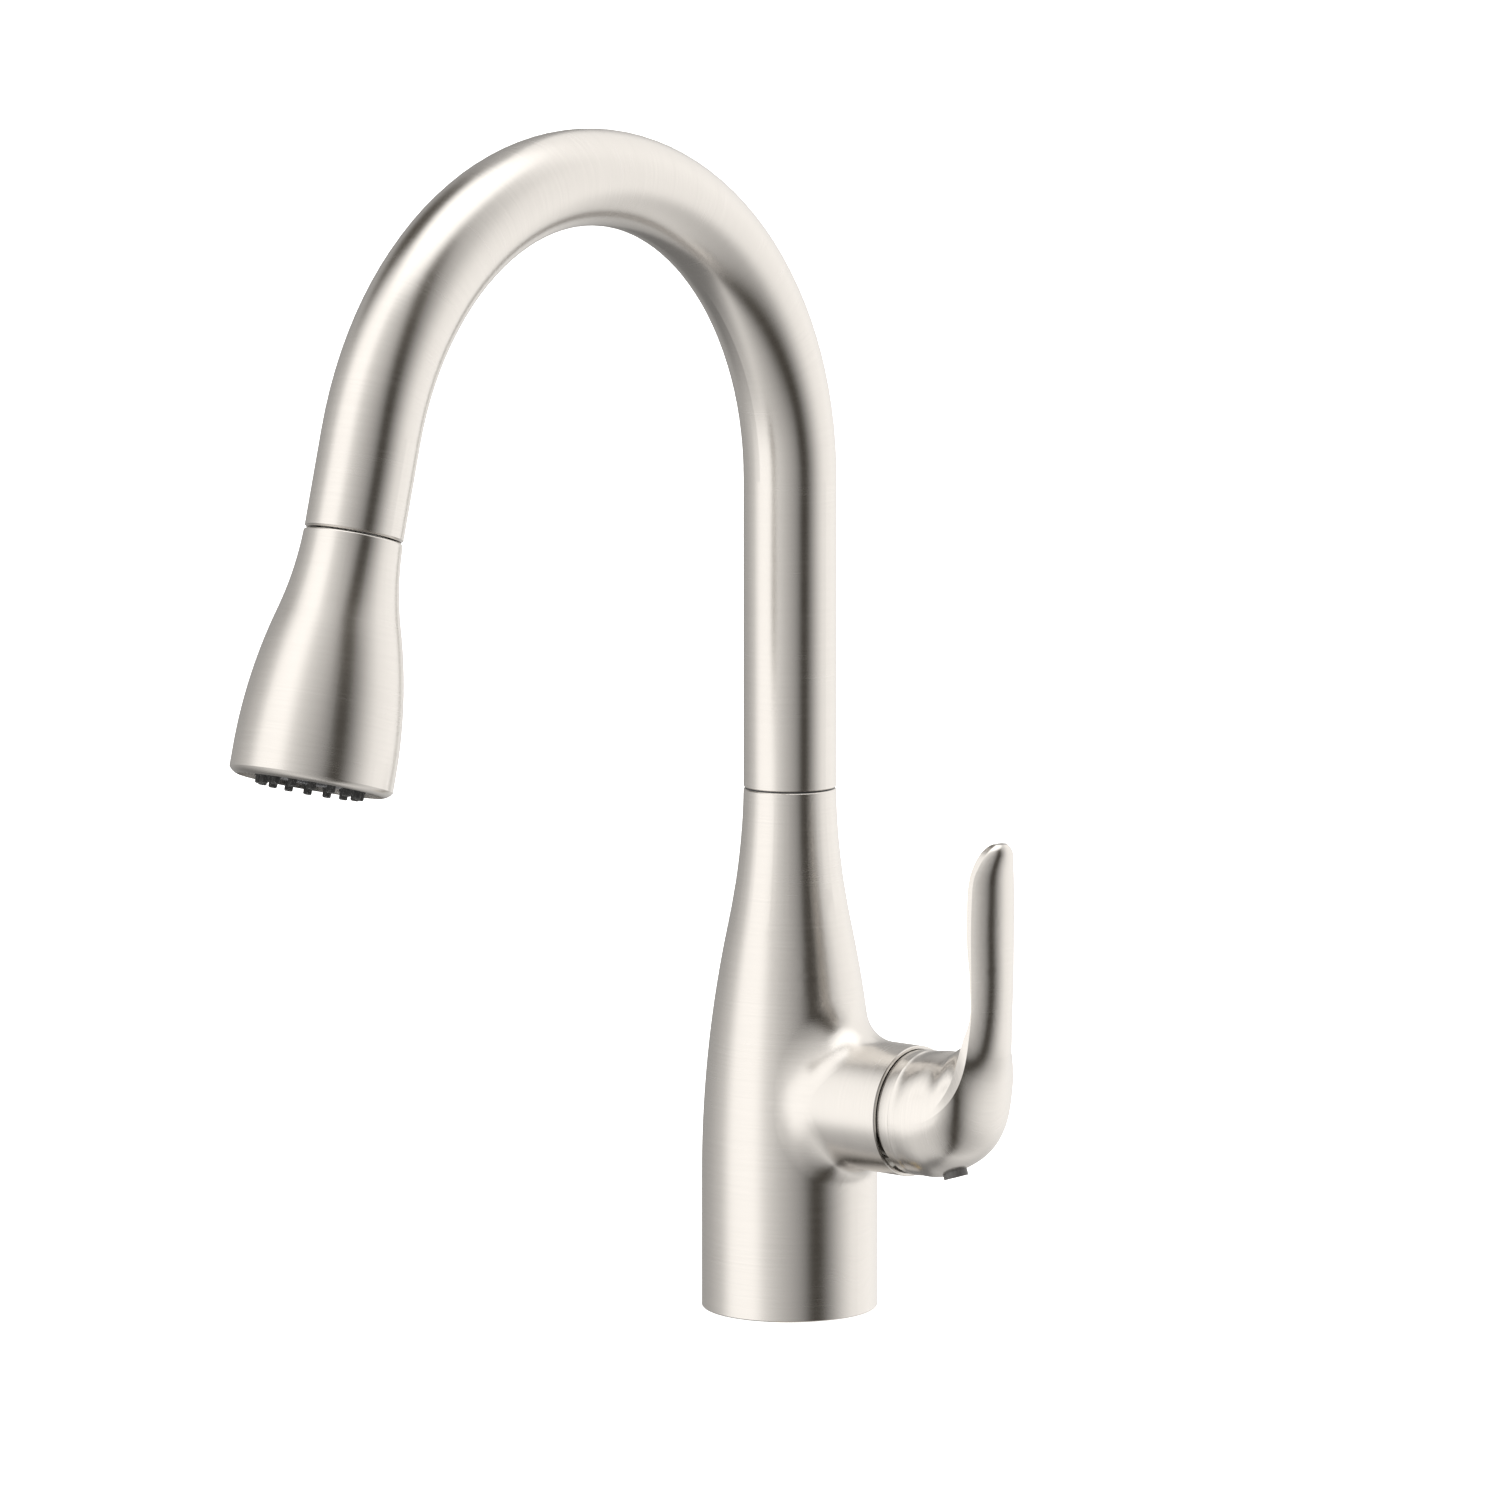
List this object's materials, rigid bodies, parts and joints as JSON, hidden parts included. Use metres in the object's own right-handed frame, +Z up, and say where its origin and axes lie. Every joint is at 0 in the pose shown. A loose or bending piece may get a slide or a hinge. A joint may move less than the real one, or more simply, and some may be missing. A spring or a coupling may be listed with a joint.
{
  "type": "kitchen faucet",
  "caption": "Pull-down kitchen faucet: waisted body with a side lever, swivelling gooseneck spout and a docked spray head on a hose.",
  "frame": {"origin": "middle of the base on the deck plane, on the axis of the threaded shank that drops through the deck hole", "axes": "+Z up along the body and the spout's straight leg; the spout reaches towards -Y, over the sink and towards the user; the lever is on the +X side"},
  "size_m": [0.1181, 0.276, 0.445],
  "materials": {
    "brushed_nickel": "brushed nickel plate, fine round-the-part grain, satin",
    "polished_nickel": "polished nickel plate",
    "brass": "machined, uncoated",
    "stainless_steel": "turned stainless steel",
    "black_rubber": "soft moulded, matt",
    "black_plastic": "moulded, fine matt grain",
    "white_plastic": "moulded acetal",
    "grey_plastic": "moulded, satin",
    "ceramic": "lapped alumina ceramic",
    "magnet": "bonded ferrite",
    "braided_hose": "woven nylon braid over a rubber tube"
  },
  "bodies": {
    "base": {"faucet_body": "brushed_nickel", "base_gasket": "black_rubber", "mounting_shank": "brass", "cartridge_housing": "white_plastic", "fixed_ceramic_disc": "ceramic", "cartridge_nut": "brass", "bonnet": "polished_nickel", "spout_keeper_screw": "stainless_steel"},
    "spout": {"spout_tube": "brushed_nickel", "spout_collar": "brass", "spout_glide_ring": "black_plastic", "spout_ring_lower": "black_rubber", "spout_ring_upper": "black_rubber", "docking_guide": "black_plastic", "dock_magnet": "magnet", "spray_hose": "braided_hose"},
    "hose_end": {"hose_ferrule": "stainless_steel", "hose_swivel_nut": "brass", "hose_washer": "black_rubber"},
    "spray_head": {"spray_head_shell": "brushed_nickel", "head_collar": "white_plastic", "dock_strike_ring": "stainless_steel", "head_waterway": "white_plastic", "check_valve": "white_plastic", "diverter_housing": "white_plastic", "rocker_pin": "stainless_steel", "nozzle_plate": "black_plastic", "spray_nozzles": "black_rubber", "aerator_housing": "black_plastic", "aerator_mesh": "stainless_steel"},
    "rocker": {"spray_rocker": "brushed_nickel"},
    "plunger": {"diverter_plunger": "white_plastic"},
    "carrier": {"stem_carrier": "white_plastic", "stem_pin": "stainless_steel"},
    "slider": {"disc_slider": "white_plastic", "moving_ceramic_disc": "ceramic"},
    "lever": {"handle_lever": "brushed_nickel", "cartridge_stem": "brass", "handle_set_screw": "stainless_steel", "handle_plug": "grey_plastic"}
  },
  "joints": [
    {"name": "spout_swivel", "type": "hinge", "parent": "base", "child": "spout", "pos_m": [0, 0, 0.17], "axis": [0, 0, 1], "continuous": true},
    {"name": "hose_pull", "type": "slide", "parent": "spout", "child": "hose_end", "axis": [0, -0.2588, -0.9659], "range_m": [0, 0.4], "stiffness_N_per_m": 8, "springref_m": -0.5, "deforming": ["spray_hose"]},
    {"name": "head_turn", "type": "hinge", "parent": "hose_end", "child": "spray_head", "pos_m": [0, -0.20446, 0.26652], "axis": [0, -0.2588, -0.9659], "continuous": true},
    {"name": "rocker_tilt", "type": "hinge", "parent": "spray_head", "child": "rocker", "pos_m": [0, -0.19925, 0.21025], "axis": [1, 0, 0], "range_deg": [0, 8]},
    {"name": "plunger_slide", "type": "slide", "parent": "spray_head", "child": "plunger", "axis": [0, -0.2588, -0.9659], "range_m": [0, 0.001]},
    {"name": "temperature_turn", "type": "hinge", "parent": "base", "child": "carrier", "pos_m": [0.056, 0, 0.07], "axis": [1, 0, 0], "range_deg": [-45, 45]},
    {"name": "lever_tilt", "type": "hinge", "parent": "carrier", "child": "lever", "pos_m": [0.056, 0, 0.07], "axis": [0, 1, 0], "range_deg": [0, 20]},
    {"name": "disc_slide", "type": "slide", "parent": "carrier", "child": "slider", "axis": [0, 0, 1], "range_m": [0, 0.0078]}
  ],
  "couplings": [
    {"joint": "plunger_slide", "follows": "rocker_tilt", "m_per_rad": 0.0063},
    {"joint": "disc_slide", "follows": "lever_tilt", "m_per_rad": 0.022}
  ]
}
